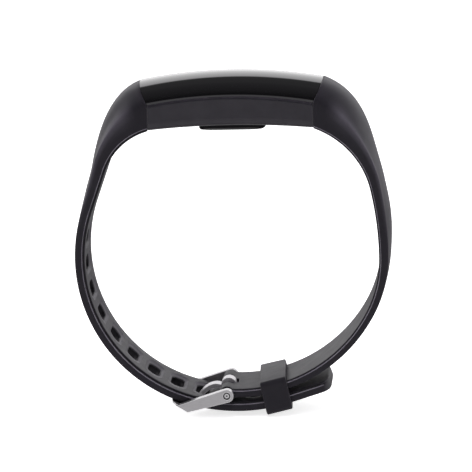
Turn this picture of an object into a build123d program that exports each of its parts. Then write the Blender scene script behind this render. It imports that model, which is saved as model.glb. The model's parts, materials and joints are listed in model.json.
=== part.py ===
from build123d import *
import os
from math import asin, cos, degrees, exp, radians, sin

# Fitness tracker band, buckled. Millimetres.
# X runs along the case, from the holed tail strap (-X) to the buckle strap (+X).
# Y runs across the band. Z runs up through the lens.
# The origin is the middle of the small flat on the sensor window's domed face.

# ---------------------------------------------------------------- driving dimensions
case_half_length = 18.4
case_half_width = 9.0
case_wall = 1.2
case_floor = 1.1
bottom_z = 2.2
bottom_radius = 190.0
split_z = 8.9
split_radius = 100.0
lens_top_z = 13.2
lens_top_radius = 112.0
lens_half_width = 8.45
lens_crown_radius = 16.0
lens_corner_radius = 3.0
lens_wall = 1.3
lens_tip_x, lens_tip_z = 20.6, 11.45
seam_gap = 0.06
case_rim_radius = 0.6

strap_half_width = 8.0
strap_thickness = 2.3
hood_rise = 7.6
hood_widening_length = 14.0
tail_taper = (9.4, 1.85)  # length, power
buckle_taper = (11.0, 2.2)
tail_swell = (0.65, 19.5, 6.5)  # height, distance from the seam, reach
buckle_swell = (0.9, 26.0, 10.0)
edge_height = 2.19
edge_rise = 4.34
edge_taper_length = 8.6
edge_taper_power = 1.25
inner_layer = 0.35
inner_layer_inset = 0.35

loop_centre_z = -25.4
buckle_strap_radius = 33.1
tail_strap_radius = 36.0

hole_count = 11
hole_pitch = 6.0
hole_length = 3.1
hole_width = 6.0
buckled_hole = 9
buckled_hole_x = -8.6

pin_x, pin_z = -2.65, -59.55
bar_radius = 0.7
bar_clearance = 0.06
plate_inner = 8.35
plate_thickness = 1.5

keeper_angle = 13.8
keeper_half_length = 3.0
keeper_lean = 2.3
keeper_wall = 1.05


# ---------------------------------------------------------------- small helpers
def block(x, y, z):
    """A box from its low and high limits along each axis."""
    size = (x[1] - x[0], y[1] - y[0], z[1] - z[0])
    middle = ((x[0] + x[1]) / 2, (y[0] + y[1]) / 2, (z[0] + z[1]) / 2)
    return Pos(*middle) * Box(*size)


def rod_y(radius, x, z, low, high):
    """A round rod along Y."""
    return Pos(x, (low + high) / 2, z) * Rot(90, 0, 0) * Cylinder(radius, high - low)


def rod_z(radius, x, y, low, high):
    """A round rod along Z."""
    return Pos(x, y, (low + high) / 2) * Cylinder(radius, high - low)


def side_slab(edges, half_width):
    """A closed outline drawn in X and Z, made solid to both sides of the middle plane."""
    return extrude(Plane.XZ * make_face(edges), half_width, both=True)


def rounded_block(half_x, half_y, corner, low, high):
    """An upright block with rounded corners in plan."""
    return Pos(0, 0, low) * extrude(RectangleRounded(2 * half_x, 2 * half_y, corner), high - low)


def arch_z(top_z, radius, x):
    """Height of a crowned line that peaks at top_z in the middle."""
    return top_z - radius + (radius**2 - x**2) ** 0.5


def arch(top_z, radius, half_length):
    """A crowned line over the length of the case, from -X to +X."""
    end_z = arch_z(top_z, radius, half_length)
    return ThreePointArc((-half_length, end_z), (0, top_z), (half_length, end_z))


def below_arch(top_z, radius, half_length, low_z):
    """Outline under a crowned line, down to a level line."""
    top = arch(top_z, radius, half_length)
    return top + Polyline(top @ 1, (half_length, low_z), (-half_length, low_z), top @ 0)


# ---------------------------------------------------------------- strap paths
def bend(radius, turn):
    """One round stretch of a strap path: its length and its turn in degrees, left positive."""
    return radius * radians(abs(turn)), turn


def walk(start, moves, distance):
    """Point and heading reached along a path of round and straight stretches."""
    x, z, heading = start
    for length, turn in moves:
        part = min(distance, length) / length
        step = part * radians(turn)
        angle = radians(heading)
        if turn:
            radius = length / radians(turn)
            x += radius * (sin(angle + step) - sin(angle))
            z -= radius * (cos(angle + step) - cos(angle))
        else:
            x += part * length * cos(angle)
            z += part * length * sin(angle)
        heading += part * turn
        distance -= part * length
        if distance <= 0:
            break
    return x, z, heading


def path_length(moves):
    return sum(length for length, turn in moves)


# The wrist side of the tail strap, from its free tip, under the buckle strap, up to the case.
tail_free_length = 10.1
tail_lift_off = 17.5
seam_overlap = 2.5
tail_tip = walk((0, loop_centre_z - tail_strap_radius, 0),
                [bend(tail_strap_radius, tail_lift_off), (tail_free_length, 0)], 1000)
tail_start = (tail_tip[0], tail_tip[1], 180 + tail_lift_off)
tail_moves = [
    (tail_free_length, 0),
    bend(tail_strap_radius, -tail_lift_off - 18),
    bend(32.8, -92),
    (10.2, 0),
    bend(14.5, -55),
    (seam_overlap, 0),
]

# The wrist side of the buckle strap, from the buckle pin up to the case.
buckle_start_angle = -4.6
buckle_start = (
    buckle_strap_radius * sin(radians(buckle_start_angle)),
    loop_centre_z - buckle_strap_radius * cos(radians(buckle_start_angle)),
    buckle_start_angle,
)
buckle_moves = [
    bend(buckle_strap_radius, 60 - buckle_start_angle),
    bend(27.0, 30),
    bend(75.0, 12),
    bend(19.7, 57),
    (seam_overlap, 0),
]


def strap_section(half_width, edge, thickness):
    """Cross-section: a narrower wrist-side layer, flat edges and a crowned outer face."""
    rise = thickness - edge
    inset = half_width - inner_layer_inset
    lower = Polyline(
        (-half_width, edge), (-half_width, inner_layer), (-inset, inner_layer), (-inset, 0),
        (inset, 0), (inset, inner_layer), (half_width, inner_layer), (half_width, edge),
    )
    shoulder = 0.82 * half_width
    shoulder_z = edge + 0.52 * rise
    upper = Spline(
        (half_width, edge), (shoulder, shoulder_z), (0, thickness),
        (-shoulder, shoulder_z), (-half_width, edge),
    )
    return make_face(lower + upper)


def strap_size(from_seam, taper, swell):
    """Half width, edge height and crown height at a distance from the seam."""
    widening = exp(-((from_seam / hood_widening_length) ** 2))
    half_width = strap_half_width + (case_half_width - strap_half_width) * widening
    edge = edge_height + edge_rise * exp(-((from_seam / edge_taper_length) ** edge_taper_power))
    hood = hood_rise * exp(-((from_seam / taper[0]) ** taper[1]))
    fullness = swell[0] * exp(-(((from_seam - swell[1]) / swell[2]) ** 2))
    return half_width, edge, strap_thickness + hood + fullness


def strap_body(start, moves, outward, taper, swell):
    """A strap lofted along its path: thin at the far end, a tall hood at the case."""
    seam = path_length(moves) - seam_overlap
    spacing = 3.2
    count = round(path_length(moves) / spacing)
    sections = []
    for index in range(count + 1):
        distance = path_length(moves) * index / count
        x, z, heading = walk(start, moves, distance)
        plane = Plane(
            origin=(x, 0, z),
            x_dir=(0, outward, 0),
            z_dir=(cos(radians(heading)), 0, sin(radians(heading))),
        )
        size = strap_size(max(seam - distance, 0), taper, swell)
        sections.append(plane * strap_section(*size))
    return loft(sections)


def lens_end_x(z, gap):
    """Where the slanted lens end lies at a height, plus a gap."""
    split_end_z = arch_z(split_z, split_radius, case_half_length)
    slope = (lens_tip_x - case_half_length) / (lens_tip_z - split_end_z)
    return case_half_length + gap + slope * (z - split_end_z)


def case_region(gap):
    """Side outline of the space taken by case and lens, between the strap hoods."""
    corner_z = arch_z(split_z, split_radius, case_half_length)
    half, high, low = case_half_length + gap, 16.0, -6.0
    return Polyline(
        (-half, low), (half, low), (half, corner_z), (lens_end_x(high, gap), high),
        (-lens_end_x(high, gap), high), (-half, corner_z), (-half, low),
    )


# ---------------------------------------------------------------- case and lens
tenon_half_width = 4.1
tenon_end_x = 22.2
tenon_z = (3.0, 6.6)
spring_bar_x = 20.4
spring_bar_z = 4.8
window_half = (7.45, 5.5)
window_corner = 3.2
window_dome_radius = (30.0, 12.0)
window_flat_depth = 0.12
window_room = (6.2, 4.3, 0.8)
window_wall = 1.15
window_seat_z = 2.6
screw_spots = [(-11.4, 5.9), (-11.4, -5.9), (13.9, 5.2), (13.9, -5.2)]
charging_spots = [(12.0, 2.2), (12.0, -2.2)]
gasket_height = 0.5


def gasket_ring():
    ring = rounded_block(17.6, 8.3, 1.6, 4, 12) - rounded_block(16.9, 7.7, 1.0, 4, 12)
    band = side_slab(below_arch(split_z, split_radius, 18.0, 4.0), 9)
    band -= side_slab(below_arch(split_z - gasket_height, split_radius, 18.0, 4.0), 9)
    return ring & band


def case_shell(gasket):
    floor_end_z = arch_z(bottom_z, bottom_radius, case_half_length)
    split_end_z = arch_z(split_z, split_radius, case_half_length)
    half = case_half_length
    outline = arch(split_z, split_radius, half)
    outline += Polyline((half, split_end_z), (half, floor_end_z))
    outline += ThreePointArc((half, floor_end_z), (0, bottom_z), (-half, floor_end_z))
    outline += Polyline((-half, floor_end_z), (-half, split_end_z))
    shell = side_slab(outline, case_half_width)
    long_edges = shell.edges().filter_by(GeomType.CIRCLE)
    shell = fillet(long_edges.group_by(Axis.Z)[0], 1.9)
    rim = shell.edges().filter_by(GeomType.CIRCLE).filter_by_position(
        Axis.Y, case_half_width - 0.01, case_half_width + 0.01)
    rim += shell.edges().filter_by(GeomType.CIRCLE).filter_by_position(
        Axis.Y, -case_half_width - 0.01, -case_half_width + 0.01)
    shell = fillet(rim.group_by(Axis.Z)[-1], case_rim_radius)
    shell -= rounded_block(16.9, case_half_width - case_wall - 0.1, 1.0, bottom_z + case_floor, 12)
    for x, y in screw_spots:
        shell += rod_z(1.1, x, y, 2.8, 7.9)
        shell -= rod_z(0.45, x, y, 4.6, 8.5)
    for side in (-1, 1):
        ends = sorted((side * (half - 1.4), side * tenon_end_x))
        tenon = block(ends, (-tenon_half_width, tenon_half_width), tenon_z)
        shell += tenon
        shell -= rod_y(0.75, side * spring_bar_x, spring_bar_z, -5, 5)
    shell -= rounded_block(*window_half, window_corner, 0, window_seat_z)
    shell -= rounded_block(*window_room, 0, 4)
    for x, y in charging_spots:
        shell -= rod_z(0.9, x, y, 0, 4)
    return shell - gasket


def lens_block(crown_top, corner_half_width, corner_radius, crown_radius, length_radius):
    """A cover crowned both ways, turned about a far axis across the band."""
    corner_y = corner_half_width - corner_radius
    centre_z = crown_top - crown_radius
    reach = crown_radius - corner_radius
    corner_z = centre_z + (reach**2 - corner_y**2) ** 0.5
    touch_y = corner_y * crown_radius / reach
    touch_z = centre_z + (corner_z - centre_z) * crown_radius / reach
    low = 5.0
    mid_y = corner_y + corner_radius * cos(asin((touch_z - corner_z) / corner_radius) / 2)
    mid_z = corner_z + corner_radius * sin(asin((touch_z - corner_z) / corner_radius) / 2)
    side = Line((corner_half_width, low), (corner_half_width, corner_z))
    corner = ThreePointArc((corner_half_width, corner_z), (mid_y, mid_z), (touch_y, touch_z))
    crown = ThreePointArc((touch_y, touch_z), (0, crown_top), (-touch_y, touch_z))
    other_corner = ThreePointArc((-touch_y, touch_z), (-mid_y, mid_z), (-corner_half_width, corner_z))
    base = Polyline((-corner_half_width, corner_z), (-corner_half_width, low), (corner_half_width, low))
    face = Plane.YZ * make_face(side + corner + crown + other_corner + base)
    axis = Axis((0, 0, crown_top - length_radius), (0, 1, 0))
    half_turn = 12
    return revolve(face.rotate(axis, -half_turn), axis, 2 * half_turn)


def top_lens():
    cover = lens_block(lens_top_z, lens_half_width, lens_corner_radius,
                       lens_crown_radius, lens_top_radius)
    cover &= side_slab(case_region(0), 10)
    cover -= side_slab(below_arch(split_z, split_radius, 24.0, -6.0), 10)
    hollow = lens_block(lens_top_z - lens_wall, lens_half_width - 0.95, lens_corner_radius - 1.0,
                        lens_crown_radius - lens_wall, lens_top_radius)
    return cover - (hollow & rounded_block(16.9, 8.0, 1.5, 4, 14))


def sensor_window():
    """A glossy window domed both ways, with a small flat in the middle that meets the wrist."""
    window = rounded_block(*window_half, window_corner, 0, window_seat_z)
    long_radius, short_radius = window_dome_radius
    window &= rod_y(long_radius, 0, long_radius - window_flat_depth, -6, 6)
    window &= Rot(0, 0, 90) * rod_y(short_radius, 0, short_radius - window_flat_depth, -8, 8)
    return window - rounded_block(*window_room, window_wall, 4)


# ---------------------------------------------------------------- inside the case
battery_box = ((-14.4, 7.2), (-4.7, 4.7), (3.6, 5.9))
board_z = (6.3, 7.0)
frame_z = (8.0, 8.6)
motor_x, motor_z, motor_radius = 10.6, 5.6, 2.0


def battery_cell():
    return fillet(block(*battery_box).edges().filter_by(Axis.Z), 0.8)


def battery_wires():
    wires = []
    for y in (-1.2, 1.2):
        path = Polyline((battery_box[0][0] + 0.01, y, 5.0), (-15.2, y, 5.0), (-15.2, y, 6.25))
        ring = Plane(origin=path @ 0, z_dir=path % 0) * Circle(0.25)
        wires.append(sweep(ring, path, transition=Transition.ROUND))
    return Compound(children=wires)


def main_board():
    board = block((-16.0, 7.6), (-7.0, 7.0), board_z)
    for x, y in screw_spots:
        board -= rod_z(1.3, x, y, 5, 9)
    return board


def inner_frame():
    frame = block((-12.8, 16.0), (-7.0, 7.0), frame_z)
    frame -= block((-9.0, 8.0), (-4.4, 4.4), frame_z)
    for x, y in screw_spots:
        frame -= rod_z(0.5, x, y, 7, 9)
    return frame


def frame_screws():
    screws = []
    for x, y in screw_spots:
        head = rod_z(0.85, x, y, frame_z[1], frame_z[1] + 0.5)
        head -= block((x - 0.6, x + 0.6), (y - 0.1, y + 0.1), (frame_z[1] + 0.3, 10))
        screws.append(head + rod_z(0.42, x, y, 4.8, frame_z[1]))
    return Compound(children=screws)


def display_flex():
    """A ribbon that leaves the display, turns down past the frame and meets the board."""
    outer, inner = 0.7, 0.5
    high, low = 9.4, board_z[1] + 0.15
    turn_x = -13.0
    ribbon = Polyline((-12.3, high), (turn_x, high))
    ribbon += RadiusArc((turn_x, high), (turn_x - outer, high - outer), -outer)
    ribbon += Polyline((turn_x - outer, high - outer), (turn_x - outer, low), (-11.0, low),
                       (-11.0, low + 0.15), (turn_x - inner, low + 0.15), (turn_x - inner, high - outer))
    ribbon += RadiusArc((turn_x - inner, high - outer), (turn_x, high - 0.2), inner)
    ribbon += Polyline((turn_x, high - 0.2), (-12.3, high - 0.2), (-12.3, high))
    return side_slab(ribbon, 3.0)


def vibration_motor():
    can = rod_y(motor_radius, motor_x, motor_z, -6.2, 0.2) - rod_y(0.42, motor_x, motor_z, -2.0, 1.0)
    shaft = rod_y(0.38, motor_x, motor_z, -1.8, 3.4)
    half = rod_y(1.75, motor_x, motor_z, 0.6, 3.2)
    half &= block((motor_x - 3, motor_x + 3), (0, 4), (motor_z - 3, motor_z))
    weight = half + rod_y(0.75, motor_x, motor_z, 0.6, 3.2)
    return can, shaft, weight - rod_y(0.38, motor_x, motor_z, 0, 4)


def sensor_parts():
    board = rounded_block(5.9, 4.0, 0.6, 2.0, 2.6)
    lamps = Compound(children=[
        block((side * 3.3 - 0.6, side * 3.3 + 0.6), (-0.5, 0.5), (1.4, 2.0)) for side in (-1, 1)])
    diode = block((-1.2, 1.2), (-1.2, 1.2), (1.4, 2.0))
    baffle = rounded_block(5.6, 3.7, 0.6, window_wall + 0.05, 1.95)
    baffle -= block((-1.4, 1.4), (-1.4, 1.4), (0, 3))
    for side in (-1, 1):
        baffle -= block((side * 3.3 - 0.8, side * 3.3 + 0.8), (-0.7, 0.7), (0, 3))
    return board, lamps, diode, baffle


def charging_pins():
    pins = []
    for x, y in charging_spots:
        floor_z = arch_z(bottom_z, bottom_radius, x) - 0.1
        pin = rod_z(0.9, x, y, floor_z, 3.3) + rod_z(1.2, x, y, 3.3, 3.55)
        pins.append(pin)
    return Compound(children=pins)


# ---------------------------------------------------------------- sprung bars
def spring_bar(x, z, half_tube, tube_radius, tip_radius, tip_end):
    """Tube with crimped ends, a coil inside it and two tips that push in."""
    bore = tube_radius - 0.18
    plunger_out = half_tube - 0.35
    plunger_in = plunger_out - 1.0
    tube = rod_y(tube_radius, x, z, -half_tube, half_tube)
    tube -= rod_y(bore, x, z, -plunger_out - 0.05, plunger_out + 0.05)
    tube -= rod_y(tip_radius + 0.04, x, z, -half_tube - 1, half_tube + 1)
    tips = []
    for side in (-1, 1):
        plunger = rod_y(bore - 0.04, x, z, *sorted((side * plunger_in, side * plunger_out)))
        pin = rod_y(tip_radius, x, z, *sorted((side * plunger_out, side * tip_end)))
        dimple = rod_y(tip_radius * 0.5, x, z, *sorted((side * (tip_end - 0.25), side * (tip_end + 1))))
        tips.append(plunger + pin - dimple)
    wire = 0.09
    coil_radius = bore - wire - 0.05
    coil_length = 2 * plunger_in - 0.3
    helix = Helix(pitch=0.75, height=coil_length, radius=coil_radius)
    coil = sweep(Plane(origin=helix @ 0, z_dir=helix % 0) * Circle(wire), helix, is_frenet=True)
    coil = Pos(x, coil_length / 2, z) * Rot(90, 0, 0) * coil
    return tube, coil, tips[0], tips[1]


def strap_insert(side):
    """A hard clevis moulded into the strap end; its ears take the spring bar's tips."""
    ends = sorted((side * 18.8, side * 23.2))
    body = block(ends, (-6.3, 6.3), (2.9, 6.7))
    body -= block(sorted((side * 18, side * 22.35)), (-4.3, 4.3), (2, 8))
    for low, high in ((-5.6, -4.2), (4.2, 5.6)):
        body -= rod_y(0.44, side * spring_bar_x, spring_bar_z, low, high)
    return body


def strap_end_room(side):
    """Pocket in a strap hood for the case tenon, and the room the bar's tips need in the clevis."""
    pocket = block(sorted((side * 18, side * 22.35)), (-4.3, 4.3), (2.9, 6.7))
    return pocket + rod_y(0.44, side * spring_bar_x, spring_bar_z, -5.6, 5.6)


# ---------------------------------------------------------------- straps, keeper, buckle
def hole_distance(number):
    """Distance from the tail's tip to a hole, along the wrist side."""
    angle = tail_lift_off - degrees(asin(buckled_hole_x / tail_strap_radius))
    at_buckle = tail_free_length + radians(angle) * tail_strap_radius
    return at_buckle + (buckled_hole - number) * hole_pitch


def tail_strap():
    strap = strap_body(tail_start, tail_moves, 1, tail_taper, tail_swell)
    strap -= side_slab(case_region(seam_gap), 12)
    for number in range(1, hole_count + 1):
        x, z, heading = walk(tail_start, tail_moves, hole_distance(number))
        plane = Plane(origin=(x, 0, z), x_dir=(cos(radians(heading)), 0, sin(radians(heading))),
                      z_dir=(-sin(radians(heading)), 0, cos(radians(heading))))
        slot = extrude(RectangleRounded(hole_length, hole_width, 1.2), 4, both=True)
        recess = extrude(Ellipse(2.2, 5.2), 0.25, both=True)
        strap -= plane * (slot + recess)
    tip_x, tip_z, heading = tail_start
    plane = Plane(origin=(tip_x, 0, tip_z), x_dir=(cos(radians(heading)), 0, sin(radians(heading))),
                  z_dir=(-sin(radians(heading)), 0, cos(radians(heading))))
    corner = strap_half_width + 1
    keep = make_face(ThreePointArc((2.6, corner), (0, 0), (2.6, -corner))
                     + Polyline((2.6, -corner), (-4, -corner), (-4, corner), (2.6, corner)))
    return strap - plane * extrude(keep, 5, both=True)


def buckle_strap():
    strap = strap_body(buckle_start, buckle_moves, -1, buckle_taper, buckle_swell)
    strap -= side_slab(case_region(seam_gap), 12)
    strap += rod_y(1.65, pin_x, pin_z, -strap_half_width, strap_half_width)
    strap -= rod_y(bar_radius + bar_clearance, pin_x, pin_z, -9, 9)
    return strap - block((-6, -0.4), (-1.7, 1.7), (-64, -55))


def ring_sector(inner, outer, half_angle, half_width):
    """A stretch of a band concentric with the straps, centred on the keeper."""
    def spot(radius, angle):
        turn = radians(keeper_angle + angle)
        return radius * sin(turn), loop_centre_z - radius * cos(turn)

    edges = ThreePointArc(spot(inner, -half_angle), spot(inner, 0), spot(inner, half_angle))
    edges += Line(spot(inner, half_angle), spot(outer, half_angle))
    edges += ThreePointArc(spot(outer, half_angle), spot(outer, 0), spot(outer, -half_angle))
    edges += Line(spot(outer, -half_angle), spot(inner, -half_angle))
    return side_slab(edges, half_width)


def keeper_loop():
    """A loop round both straps with level sides, leaning a little towards the strap ends."""
    inside = buckle_strap_radius - 0.2
    outside = tail_strap_radius + strap_thickness + 0.2
    loop = ring_sector(inside - keeper_wall, outside + keeper_wall, 8,
                       strap_half_width + 0.15 + keeper_wall)
    loop -= ring_sector(inside, outside, 9, strap_half_width + 0.15)
    turn = radians(keeper_angle)
    middle = (inside + outside) / 2
    place = Pos(middle * sin(turn), 0, loop_centre_z - middle * cos(turn))
    return loop & place * Rot(0, -keeper_angle - keeper_lean, 0) * Box(2 * keeper_half_length, 30, 16)


frame_front_x = -15.2
frame_hub_radius = 1.5
front_high = (-14.05, -61.66)
front_low = (-11.6, -63.22)


def side_plate(low, high):
    """Buckle side plate: round about the pin, tapering to a slanted front."""
    hub = Pos(pin_x, pin_z) * Circle(frame_hub_radius)
    nose = make_face(Polyline(front_high, front_low, (-11.0, -62.4), front_high))
    profile = make_hull((hub + nose).edges())
    return Pos(0, low, 0) * extrude(Plane.XZ * profile, low - high)


tongue_half_width = 1.3


def tongue_profile(width):
    """Outline of the tongue's arm: over the strap, through the hole, onto the front bar."""
    spine = Spline((-3.9, -60.0), (-6.1, -59.4), (-8.5, -60.85), (-10.3, -62.75),
                   (-12.0, -63.2), (-13.7, -62.55))
    return trace(spine, line_width=width)


def buckle_tongue():
    arm = extrude(Plane.XZ * tongue_profile(0.95), tongue_half_width, both=True)
    loop = rod_y(1.75, pin_x - 0.05, pin_z + 0.3, -tongue_half_width, tongue_half_width)
    return arm + loop - rod_y(bar_radius + bar_clearance, pin_x, pin_z, -3, 3)


def buckle_frame():
    """Two side plates joined by a wedge-shaped front bar, its outer corners rounded in plan."""
    outer = plate_inner + plate_thickness
    frame = side_plate(-outer, -plate_inner) + side_plate(plate_inner, outer)
    bar_top, bar_foot = (frame_front_x, -60.7), (frame_front_x + 0.1, -61.15)
    frame += side_slab(Polyline(bar_top, bar_foot, front_low, (-11.0, -62.4), (-13.2, -61.65),
                                bar_top), outer - 0.2)
    corner, back_x = 3.0, 2.0
    plan = Polyline((frame_front_x, outer - corner), (frame_front_x, corner - outer))
    plan += ThreePointArc((frame_front_x, corner - outer), (frame_front_x + 0.3, 1.3 - outer),
                          (frame_front_x + 1.1, -outer))
    plan += Polyline((frame_front_x + 1.1, -outer), (back_x, -outer), (back_x, outer),
                     (frame_front_x + 1.1, outer))
    plan += ThreePointArc((frame_front_x + 1.1, outer), (frame_front_x + 0.3, outer - 1.3),
                          (frame_front_x, outer - corner))
    frame &= Pos(0, 0, -66) * extrude(make_face(plan), 12)
    frame -= extrude(Plane.XZ * tongue_profile(1.25), tongue_half_width + 0.2, both=True)
    for side in (-1, 1):
        ends = sorted((side * (outer - 0.5), side * (outer + 1)))
        frame -= rod_y(0.85, pin_x, pin_z, *ends)
    return frame - rod_y(0.5 + 0.05, pin_x, pin_z, -12, 12)


# ---------------------------------------------------------------- build and write
def build_parts():
    gasket = gasket_ring()
    insert_left, insert_right = strap_insert(-1), strap_insert(1)
    can, shaft, weight = vibration_motor()
    sensor_board, lamps, diode, baffle = sensor_parts()
    parts = {
        "case_shell": case_shell(gasket),
        "lens_gasket": gasket,
        "top_lens": top_lens(),
        "sensor_window": sensor_window(),
        "battery_cell": battery_cell(),
        "battery_wires": battery_wires(),
        "main_board": main_board(),
        "mcu_chip": block((-6.0, -1.0), (-2.5, 2.5), (board_z[1], 7.8)),
        "accelerometer_chip": block((2.0, 4.0), (-1.0, 1.0), (board_z[1], 7.8)),
        "antenna_strip": block((-9.0, 4.0), (6.4, 6.6), (board_z[1], 7.9)),
        "inner_frame": inner_frame(),
        "frame_screws": frame_screws(),
        "display_panel": block((-12.2, 12.2), (-5.0, 5.0), (frame_z[1] + 0.05, 9.9)),
        "display_flex": display_flex(),
        "touch_electrode": block((13.2, 15.6), (-4.0, 4.0), (frame_z[1] + 0.05, 8.85)),
        "vibration_motor_can": can,
        "vibration_motor_shaft": shaft,
        "vibration_motor_weight": weight,
        "sensor_board": sensor_board,
        "green_leds": lamps,
        "photodiode": diode,
        "sensor_light_baffle": baffle,
        "charging_pins": charging_pins(),
        "strap_insert_left": insert_left,
        "strap_insert_right": insert_right,
        "tail_strap": tail_strap() - insert_left - strap_end_room(-1),
        "buckle_strap": buckle_strap() - insert_right - strap_end_room(1),
        "keeper_loop": keeper_loop(),
        "buckle_frame": buckle_frame(),
        "buckle_tongue": buckle_tongue(),
    }
    bars = {
        "spring_bar_{}_left": spring_bar(-spring_bar_x, spring_bar_z, 4.0, 0.72, 0.4, 5.45),
        "spring_bar_{}_right": spring_bar(spring_bar_x, spring_bar_z, 4.0, 0.72, 0.4, 5.45),
        "buckle_bar_{}": spring_bar(pin_x, pin_z, 8.1, bar_radius, 0.5, 9.7),
    }
    for name, (tube, coil, near, far) in bars.items():
        parts[name.format("tube")] = tube
        parts[name.format("spring")] = coil
        parts[name.format("tip") + "_near"] = near
        parts[name.format("tip") + "_far"] = far
    return parts


os.makedirs("parts", exist_ok=True)
for name, shape in build_parts().items():
    export_step(shape, f"parts/{name}.step")
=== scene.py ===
import json
from math import asin, copysign, cos, degrees, exp, hypot, pi, radians, sin, sqrt, tan
import bmesh
import bpy
from mathutils import Matrix, Vector

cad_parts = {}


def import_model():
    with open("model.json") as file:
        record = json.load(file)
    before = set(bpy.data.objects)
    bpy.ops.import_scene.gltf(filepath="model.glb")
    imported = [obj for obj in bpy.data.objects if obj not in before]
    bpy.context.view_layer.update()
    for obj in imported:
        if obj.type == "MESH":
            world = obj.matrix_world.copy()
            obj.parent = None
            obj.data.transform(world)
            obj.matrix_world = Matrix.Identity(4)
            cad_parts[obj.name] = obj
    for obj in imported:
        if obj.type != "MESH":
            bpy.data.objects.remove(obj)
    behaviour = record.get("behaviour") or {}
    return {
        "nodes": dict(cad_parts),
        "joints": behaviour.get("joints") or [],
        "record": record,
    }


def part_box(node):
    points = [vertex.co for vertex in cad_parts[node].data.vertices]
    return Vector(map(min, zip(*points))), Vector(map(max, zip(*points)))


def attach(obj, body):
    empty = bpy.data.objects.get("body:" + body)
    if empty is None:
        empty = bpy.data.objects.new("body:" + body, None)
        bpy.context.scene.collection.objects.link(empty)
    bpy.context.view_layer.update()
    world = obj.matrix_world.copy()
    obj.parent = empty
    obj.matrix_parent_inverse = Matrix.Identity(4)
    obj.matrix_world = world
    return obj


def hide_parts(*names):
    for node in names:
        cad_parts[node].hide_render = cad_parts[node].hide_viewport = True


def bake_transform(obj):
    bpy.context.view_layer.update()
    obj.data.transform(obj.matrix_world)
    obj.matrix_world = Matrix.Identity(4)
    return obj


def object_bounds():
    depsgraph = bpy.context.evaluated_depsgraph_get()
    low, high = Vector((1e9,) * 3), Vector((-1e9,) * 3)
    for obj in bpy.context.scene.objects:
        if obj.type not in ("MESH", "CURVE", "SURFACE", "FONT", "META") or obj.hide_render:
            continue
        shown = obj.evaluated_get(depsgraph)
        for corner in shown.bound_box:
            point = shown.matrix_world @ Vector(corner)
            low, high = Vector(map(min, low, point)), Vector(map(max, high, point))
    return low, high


# Fitness tracker band, buckled. Shapes are worked out in millimetres in the CAD's own frame:
# X along the case towards the buckle strap, Y across the band, Z up through the lens.
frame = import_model()
cad_low, cad_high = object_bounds()
joints = {joint["name"]: joint for joint in frame["joints"]}
MM = 0.001

# ---------------------------------------------------------------- sizes shared by the pieces
case_half_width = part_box("case_shell")[1].y / MM
case_half_length = 18.4
seam_gap = 0.06
split_z, split_radius = 8.9, 100.0
lens_tip_x, lens_tip_z = 20.6, 11.45

strap_half_width = 8.0
strap_thickness = 2.3
hood_rise = 7.6
edge_height, edge_rise = 2.19, 4.34
edge_taper_length, edge_taper_power = 8.6, 1.25
hood_widening_length = 14.0
step_inset, step_inset_length = 0.36, 22.0
crown_power, crown_power_at_seam = 2.1, 3.0
ridge_softness, ridge_softness_at_seam = 0.25, 0.8
thinning_distance = 44.0
seam_shape_length, seam_fit_length = 6.0, 15.0
ring_spacing = 0.7

loop_centre_z = joints["keeper_slide"]["pos_m"][2] / MM
pin_x, _, pin_z = (value / MM for value in joints["buckle_frame_swing"]["pos_m"])
buckle_strap_radius = 33.1
tail_strap_radius = 36.0
tail_free_length, tail_lift_off = 10.1, 17.5
seam_overlap = 2.5
barrel_radius, pin_bore_radius = 1.65, 0.76

hole_count, hole_pitch = 11, 6.0
buckled_hole, buckled_hole_x = 9, -8.6


# ---------------------------------------------------------------- mesh helpers
def new_object(name, mesh):
    thing = bpy.data.objects.new(name, mesh)
    bpy.context.scene.collection.objects.link(thing)
    return thing


def mesh_object(name, points, faces):
    """An object from points in millimetres."""
    mesh = bpy.data.meshes.new(name)
    mesh.from_pydata([Vector(point) * MM for point in points], [], faces)
    mesh.validate()
    return new_object(name, mesh)


def apply_modifiers(thing):
    """Keeps the evaluated mesh and drops the modifiers."""
    graph = bpy.context.evaluated_depsgraph_get()
    mesh = bpy.data.meshes.new_from_object(thing.evaluated_get(graph))
    thing.modifiers.clear()
    thing.data = mesh


def smooth(thing, angle):
    """Smooth shading, but sharp where faces meet at more than an angle in degrees."""
    mesh = thing.data
    mesh.polygons.foreach_set("use_smooth", [True] * len(mesh.polygons))
    mesh.set_sharp_from_angle(angle=radians(angle))
    return thing


def outward_normals(thing):
    """Turns every face of a closed mesh to look outward."""
    work = bmesh.new()
    work.from_mesh(thing.data)
    bmesh.ops.recalc_face_normals(work, faces=work.faces)
    work.to_mesh(thing.data)
    work.free()
    return thing


def loft(name, rings, closed_along=False):
    """A closed skin over rings of equal count; end rings are capped with a fan."""
    count = len(rings[0])
    points = [point for ring in rings for point in ring]
    faces = []
    last = len(rings) if closed_along else len(rings) - 1
    for k in range(last):
        low, high = k * count, ((k + 1) % len(rings)) * count
        for i in range(count):
            j = (i + 1) % count
            faces.append((low + i, low + j, high + j, high + i))
    if not closed_along:
        for first in (0, (len(rings) - 1) * count):
            ring = points[first:first + count]
            centre = sum((Vector(point) for point in ring), Vector()) / count
            points.append(centre)
            hub = len(points) - 1
            faces += [(first + i, first + (i + 1) % count, hub) for i in range(count)]
    return outward_normals(mesh_object(name, points, faces))


def cut(thing, *tools):
    """Takes the tools' volumes away from thing, and removes the tools."""
    for tool in tools:
        modifier = thing.modifiers.new("cut", "BOOLEAN")
        modifier.operation = "DIFFERENCE"
        modifier.solver = "EXACT"
        modifier.object = tool
    apply_modifiers(thing)
    for tool in tools:
        bpy.data.objects.remove(tool)


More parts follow.
